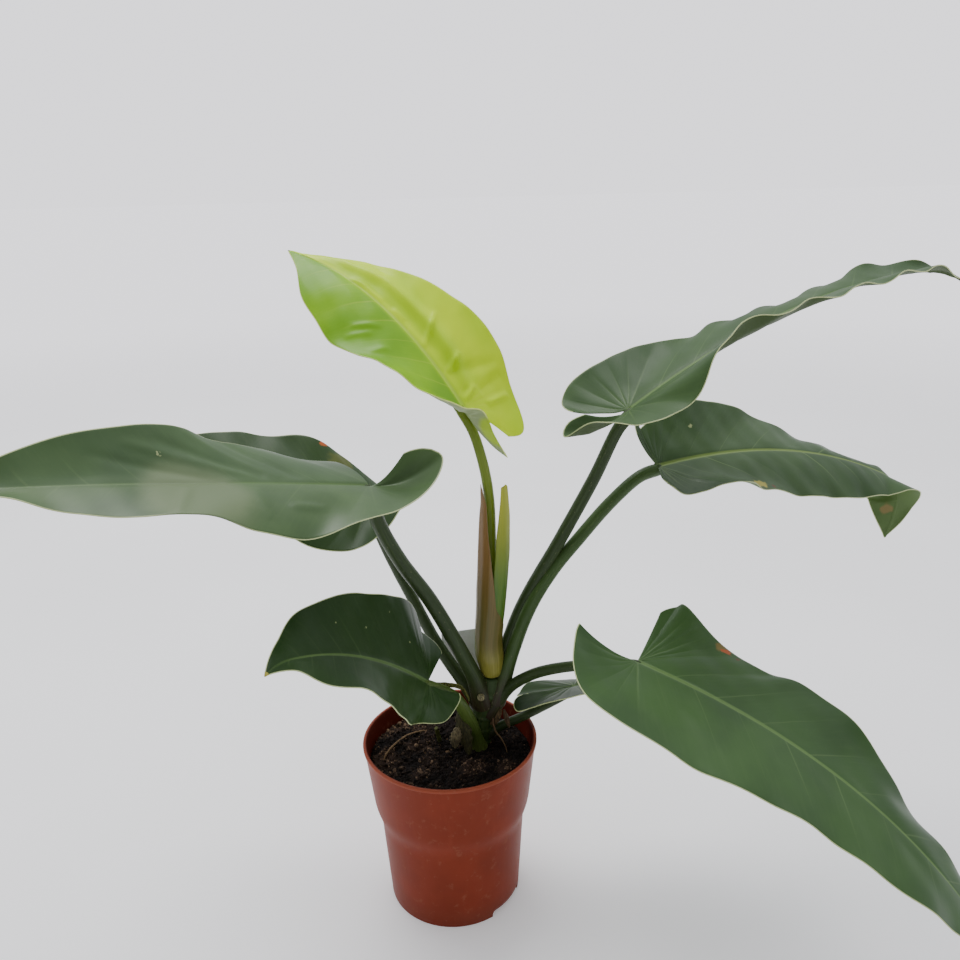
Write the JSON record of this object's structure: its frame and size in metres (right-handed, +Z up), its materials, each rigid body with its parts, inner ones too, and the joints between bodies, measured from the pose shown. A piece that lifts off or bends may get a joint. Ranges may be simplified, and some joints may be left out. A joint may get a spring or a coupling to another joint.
{
  "type": "potted philodendron",
  "caption": "Philodendron with long heart-shaped leaves, one of them young and yellow-green, in a round terracotta-coloured nursery pot.",
  "frame": {"origin": "centre of the flat disc under the pot, on the surface that it stands on", "axes": "+Z up, -Y the front that the picture shows, +X towards the lowest and widest leaf"},
  "size_m": [0.6034, 0.2789, 0.4455],
  "materials": {
    "pot": "satin terracotta-coloured plastic",
    "soil": "moist crumbly peat",
    "leaf": "waxy dark green leaf with pale margins and veins",
    "young_leaf": "glossy yellow-green young leaf",
    "petiole": "smooth dark green stalk",
    "young_petiole": "smooth yellow-green stalk",
    "stem": "dark green stem with leaf scars",
    "sheath": "papery sheath, brown-red turning green",
    "label": "thin light grey plastic, blank",
    "root": "dry light brown roots and dead stalk"
  },
  "bodies": {
    "root": {"pot": "pot", "petiole_newest": "young_petiole", "blade_newest": "young_leaf", "petiole_upper_left": "petiole", "blade_upper_left": "leaf", "petiole_rear_left": "petiole", "blade_rear_left": "leaf", "petiole_lower_left": "petiole", "blade_lower_left": "leaf", "petiole_upper_right": "petiole", "blade_upper_right": "leaf", "petiole_middle_right": "petiole", "blade_middle_right": "leaf", "petiole_lower_right": "petiole", "blade_lower_right": "leaf", "petiole_rear_right": "petiole", "blade_rear_right": "leaf", "root_long": "root", "root_thin": "root", "cut_petiole": "root", "stem": "stem", "sheath": "sheath", "plant_label": "label", "soil": "soil"}
  },
  "joints": []
}
